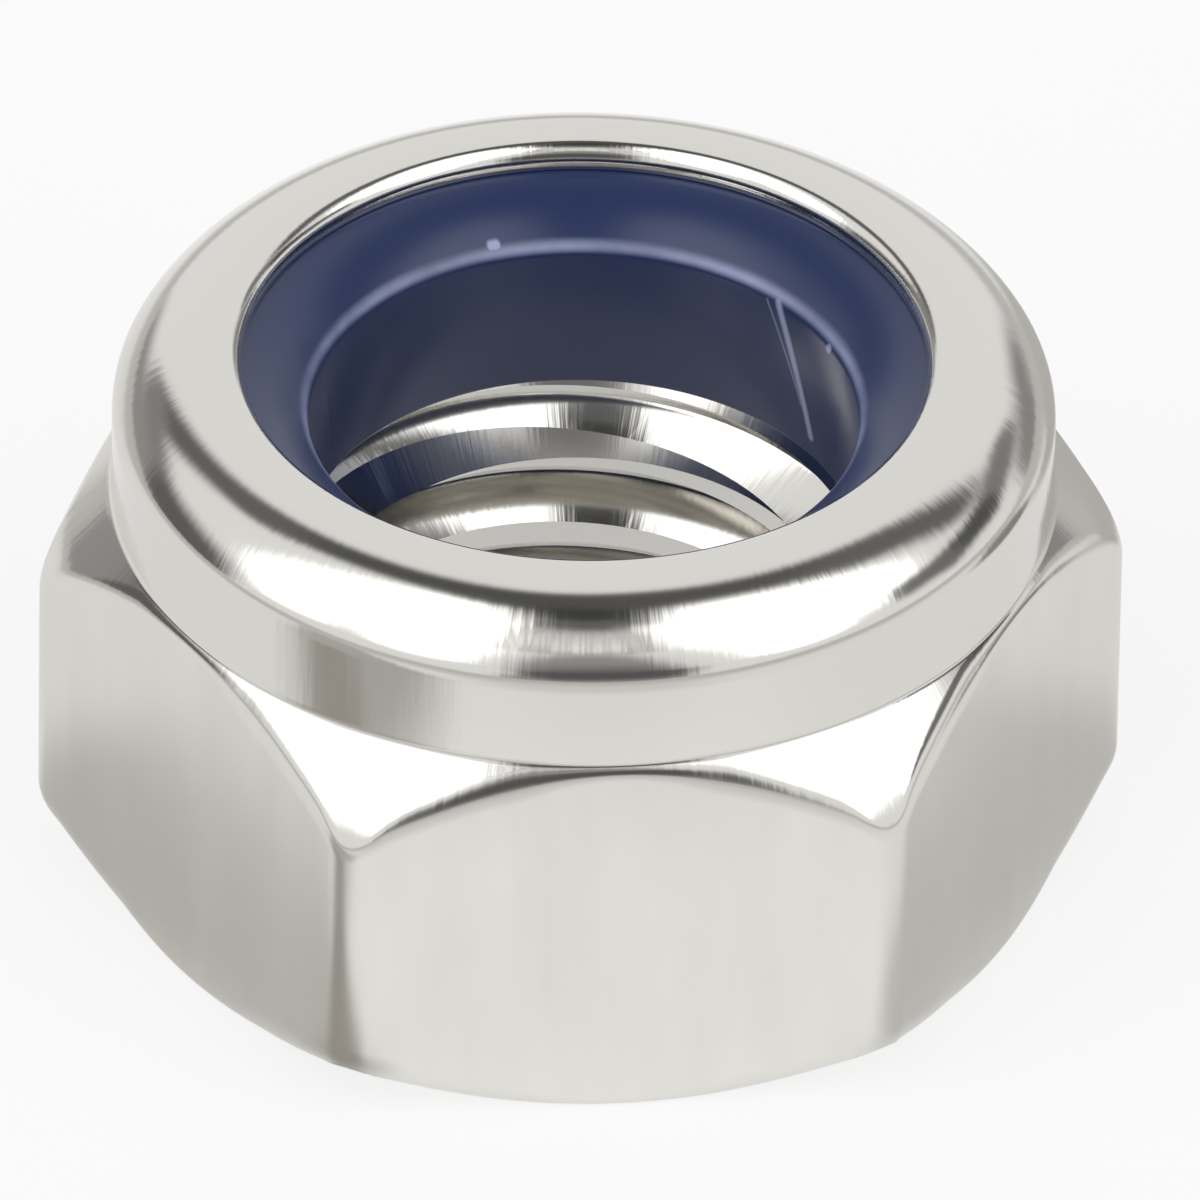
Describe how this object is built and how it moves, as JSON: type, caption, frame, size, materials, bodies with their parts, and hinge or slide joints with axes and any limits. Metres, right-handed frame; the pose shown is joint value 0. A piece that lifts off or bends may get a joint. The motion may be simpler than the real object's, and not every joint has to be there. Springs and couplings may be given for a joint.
{
  "type": "lock nut",
  "caption": "Hexagon lock nut with a rounded collar rolled over a blue plastic locking ring; it threads onto a metric bolt and resists working loose.",
  "frame": {"origin": "centre of the flat bearing face, on the thread's axis", "axes": "+Z along the thread's axis from the bearing face to the collar; the hexagon has flats square to -Y and +Y and corners towards -X and +X"},
  "size_m": [0.0092, 0.008, 0.0049],
  "materials": {
    "nut_steel": "cold-formed stainless steel, barrel polished",
    "ring_polyamide": "dyed blue polyamide, smooth"
  },
  "bodies": {
    "root": {"nut_body": "nut_steel", "locking_ring": "ring_polyamide"}
  },
  "joints": []
}
